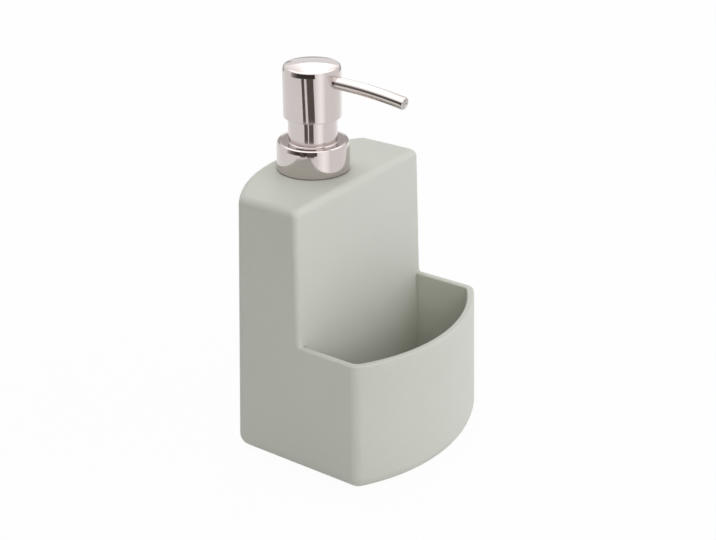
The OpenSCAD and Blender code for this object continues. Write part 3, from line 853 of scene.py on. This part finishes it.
def camera():
    az, el, roll = (math.radians(v) for v in (CAMERA_AZ, CAMERA_EL, CAMERA_ROLL))
    ahead = Vector((-math.sin(az) * math.cos(el), math.cos(az) * math.cos(el), -math.sin(el)))
    right = Vector((math.cos(az), math.sin(az), 0))
    up = right.cross(ahead)
    to_right = (MIDDLE_U - WIDTH / 2) / FOCAL * DISTANCE
    to_up = -(MIDDLE_V - HEIGHT / 2) / FOCAL * DISTANCE
    place = (-to_right * right - to_up * up - DISTANCE * ahead) * MM
    turned_right = math.cos(roll) * right - math.sin(roll) * up
    turned_up = math.sin(roll) * right + math.cos(roll) * up
    data = bpy.data.cameras.new("camera")
    data.sensor_width = SENSOR
    data.sensor_fit = "HORIZONTAL"
    data.lens = FOCAL / WIDTH * SENSOR
    data.clip_start = CLIP_START
    made = bpy.data.objects.new("camera", data)
    bpy.context.scene.collection.objects.link(made)
    made.matrix_world = Matrix((
        (turned_right.x, turned_up.x, -ahead.x, place.x),
        (turned_right.y, turned_up.y, -ahead.y, place.y),
        (turned_right.z, turned_up.z, -ahead.z, place.z),
        (0, 0, 0, 1)))
    bpy.context.scene.camera = made


def seen_or_mirrored(tree):
    """1 for rays from the camera, from mirrors and through glass."""
    path = tree.nodes.new("ShaderNodeLightPath")
    total = path.outputs["Is Camera Ray"]
    for name in ("Is Glossy Ray", "Is Transmission Ray"):
        made = tree.nodes.new("ShaderNodeMath")
        made.operation = "MAXIMUM"
        tree.links.new(total, made.inputs[0])
        tree.links.new(path.outputs[name], made.inputs[1])
        total = made.outputs["Value"]
    return total


def stage_mesh(name, points, faces, material):
    mesh = bpy.data.meshes.new(name)
    mesh.from_pydata(points, [], faces)
    mesh.materials.append(material)
    made = bpy.data.objects.new(name, mesh)
    bpy.context.scene.collection.objects.link(made)
    return made


def floor():
    """A pale floor that the camera and mirrors see nearly white, with the object's shadow on it."""
    material = bpy.data.materials.new("pale_floor")
    material.use_nodes = True
    tree = material.node_tree
    shader = tree.nodes["Principled BSDF"]
    shader.inputs["Base Color"].default_value = (FLOOR_TONE, FLOOR_TONE, FLOOR_TONE, 1)
    shader.inputs["Roughness"].default_value = FLOOR_ROUGHNESS
    shader.inputs["Specular IOR Level"].default_value = 0
    white = tree.nodes.new("ShaderNodeEmission")
    white.inputs["Strength"].default_value = 1
    share = tree.nodes.new("ShaderNodeMath")
    share.operation = "MULTIPLY"
    share.inputs[1].default_value = FLOOR_WHITE_SHARE
    tree.links.new(seen_or_mirrored(tree), share.inputs[0])
    mix = tree.nodes.new("ShaderNodeMixShader")
    tree.links.new(share.outputs["Value"], mix.inputs["Fac"])
    tree.links.new(shader.outputs["BSDF"], mix.inputs[1])
    tree.links.new(white.outputs["Emission"], mix.inputs[2])
    tree.links.new(mix.outputs["Shader"], tree.nodes["Material Output"].inputs["Surface"])
    half = FLOOR_HALF
    stage_mesh("floor", [(-half, -half, 0), (half, -half, 0), (half, half, 0), (-half, half, 0)],
               [(0, 1, 2, 3)], material)


def world():
    """A dim even light, which the camera and mirrors see as white."""
    made = bpy.data.worlds.new("studio")
    bpy.context.scene.world = made
    made.use_nodes = True
    tree = made.node_tree
    soft = tree.nodes["Background"]
    white = tree.nodes.new("ShaderNodeBackground")
    for shader, strength in ((soft, AMBIENT), (white, WORLD_WHITE)):
        shader.inputs["Color"].default_value = (1, 1, 1, 1)
        shader.inputs["Strength"].default_value = strength
    mix = tree.nodes.new("ShaderNodeMixShader")
    tree.links.new(seen_or_mirrored(tree), mix.inputs["Fac"])
    tree.links.new(soft.outputs["Background"], mix.inputs[1])
    tree.links.new(white.outputs["Background"], mix.inputs[2])
    tree.links.new(mix.outputs["Shader"], tree.nodes["World Output"].inputs["Surface"])


def lamp(name, place, aim_z, power, colour):
    data = bpy.data.lights.new(name, "AREA")
    data.shape = "SQUARE"
    data.size = LAMP_SIZE
    data.energy = power
    data.color = colour
    made = bpy.data.objects.new(name, data)
    bpy.context.scene.collection.objects.link(made)
    made.location = place
    made.rotation_euler = (Vector((0, 0, aim_z)) - Vector(place)).to_track_quat("-Z", "Y").to_euler()
    made.visible_camera = False
    made.visible_glossy = False


def mirrored_mesh(name, points, faces, tones):
    """A glowing sheet that only mirrors see, with a tone at each point."""
    material = bpy.data.materials.new(name)
    material.use_nodes = True
    tree = material.node_tree
    tree.nodes.remove(tree.nodes["Principled BSDF"])
    tone = tree.nodes.new("ShaderNodeAttribute")
    tone.attribute_name = "tone"
    glow = tree.nodes.new("ShaderNodeEmission")
    tree.links.new(tone.outputs["Color"], glow.inputs["Color"])
    tree.links.new(glow.outputs["Emission"], tree.nodes["Material Output"].inputs["Surface"])
    made = stage_mesh(name, points, faces, material)
    stored = made.data.attributes.new("tone", "FLOAT_COLOR", "POINT")
    for item, colour in zip(stored.data, tones):
        item.color = (*colour, 1)
    made.visible_camera = False
    made.visible_diffuse = False
    made.visible_shadow = False
    made.visible_transmission = False
    made.visible_volume_scatter = False


def turned(turn, radius, z):
    """A point in metres round the pump's axis, its turn in degrees from the camera's side."""
    a = math.radians(CAMERA_AZ + turn)
    return (radius * math.sin(a), PUMP_Y * MM - radius * math.cos(a), z)


def tone_at(tones, share):
    """The tone at a share of the way along a row of evenly spaced tones."""
    at = share * (len(tones) - 1)
    k = min(int(at), len(tones) - 2)
    return tuple(a + (b - a) * (at - k) for a, b in zip(tones[k], tones[k + 1]))


def card(name, low_turns, high_turns, low, high, radius, tones):
    """An upright curved card round the pump's axis, with its turns at the two edges and tones along it."""
    points = []
    point_tones = []
    for k in range(CARD_STEPS + 1):
        share = k / CARD_STEPS
        for (start, end), z in ((low_turns, low), (high_turns, high)):
            points.append(turned(start + (end - start) * share, radius, z))
            point_tones.append(tone_at(tones, share))
    faces = [(2 * k, 2 * k + 2, 2 * k + 3, 2 * k + 1) for k in range(CARD_STEPS)]
    mirrored_mesh(name, points, faces, point_tones)


def ceiling():
    """A level sheet over the pump: a bright disc with rings that fade around it."""
    sides = CEILING_SIDES
    points = [turned(360 * k / sides, radius, CEILING_Z)
              for radius, _ in CEILING_RINGS for k in range(sides)]
    tones = greys(*(level for _, level in CEILING_RINGS for _ in range(sides)))
    faces = [tuple(range(sides))]
    for ring in range(len(CEILING_RINGS) - 1):
        for k in range(sides):
            here, after = ring * sides + k, ring * sides + (k + 1) % sides
            faces.append((here, here + sides, after + sides, after))
    mirrored_mesh("bright_ceiling", points, faces, tones)


# The scene

camera()
glaze = ceramic()
plated = plating()
white = plastic("white_plastic", (0.80, 0.80, 0.78), (0.86, 0.86, 0.845), 0.38)
look = {
    "ceramic": glaze,
    "plated_metal": plated,
    "white_plastic": white,
    "tube_plastic": plastic("tube_plastic", (0.82, 0.86, 0.87), (0.88, 0.91, 0.92), 0.3,
                            Transmission_Weight=0.45),
    "piston_plastic": plastic("piston_plastic", (0.83, 0.78, 0.66), (0.88, 0.84, 0.73), 0.45),
    "glue": plastic("cured_glue", (0.80, 0.79, 0.72), (0.86, 0.85, 0.79), 0.5),
    "gasket": rubber(),
    "steel": steel(),
}
dress_nodes(look)
casting(glaze, bare_clay())
head_shell(plated)
collar_shell(plated)
nozzle(plated, white)
neck_insert(white)
collar_nut(white)

floor()
world()
for row in LAMPS:
    lamp(*row)
for row in CARDS:
    card(*row)
ceiling()

bpy.context.scene.view_settings.view_transform = "Standard"
